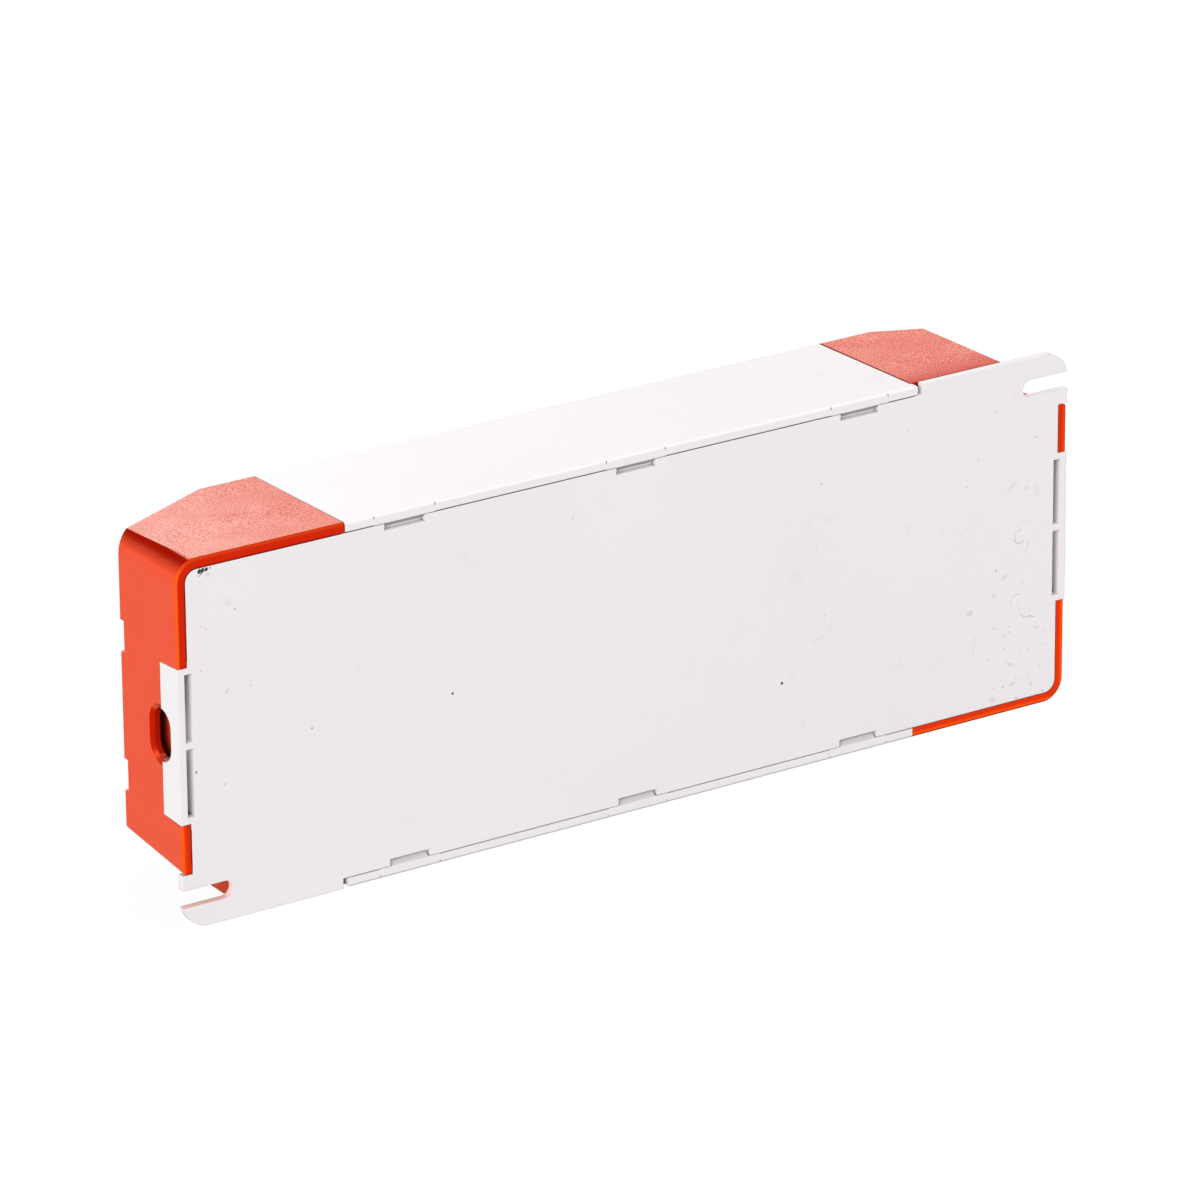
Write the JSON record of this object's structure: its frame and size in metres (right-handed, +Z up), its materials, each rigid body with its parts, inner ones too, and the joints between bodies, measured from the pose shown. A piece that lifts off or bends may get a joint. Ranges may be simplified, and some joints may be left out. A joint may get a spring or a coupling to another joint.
{
  "type": "led driver",
  "caption": "Flat oblong LED driver with a white snap-together housing, orange-red sloped end caps, cable entries in both end walls and slotted fixing ears at opposite corners.",
  "frame": {"origin": "centre of the driver's footprint on the surface it stands on, under its lower long side", "axes": "+X along the length, -Y out of the flat mounting face, +Z up across the width"},
  "size_m": [0.2, 0.0316, 0.072],
  "materials": {
    "white_housing": "moulded polycarbonate, satin white",
    "orange_cap": "moulded polycarbonate, fine spark-eroded grain",
    "zinc_screw": "zinc-plated steel",
    "board_laminate": "glass-epoxy laminate with solder mask",
    "terminal_grey": "moulded polyamide",
    "black_moulding": "moulded epoxy",
    "blue_coating": "dipped epoxy coating",
    "yellow_case": "moulded polyester case",
    "ferrite": "sintered ferrite",
    "copper_wire": "enamelled copper wire",
    "can_sleeve": "shrink sleeve on an aluminium can",
    "sink_aluminium": "extruded aluminium",
    "bobbin_ivory": "moulded polyester",
    "yellow_tape": "polyester tape over wire",
    "tan_coating": "dipped lacquer"
  },
  "bodies": {
    "root": {"base_tray": "white_housing", "top_cover": "white_housing", "input_cap": "orange_cap", "output_cap": "orange_cap", "cap_screws": "zinc_screw", "circuit_board": "board_laminate", "input_terminal": "terminal_grey", "output_terminal": "terminal_grey", "terminal_screws": "zinc_screw", "fuse": "black_moulding", "varistor": "blue_coating", "x_capacitor": "yellow_case", "choke_core": "ferrite", "choke_windings": "copper_wire", "bridge_rectifier": "black_moulding", "bulk_capacitor": "can_sleeve", "switching_transistor": "black_moulding", "primary_heat_sink": "sink_aluminium", "transformer_core": "ferrite", "transformer_bobbin": "bobbin_ivory", "transformer_winding": "yellow_tape", "y_capacitor": "blue_coating", "optocoupler": "black_moulding", "control_chip": "black_moulding", "snubber_resistors": "tan_coating", "output_rectifier": "black_moulding", "secondary_heat_sink": "sink_aluminium", "output_capacitors": "can_sleeve", "output_choke_core": "ferrite", "output_choke_winding": "copper_wire"}
  },
  "joints": []
}
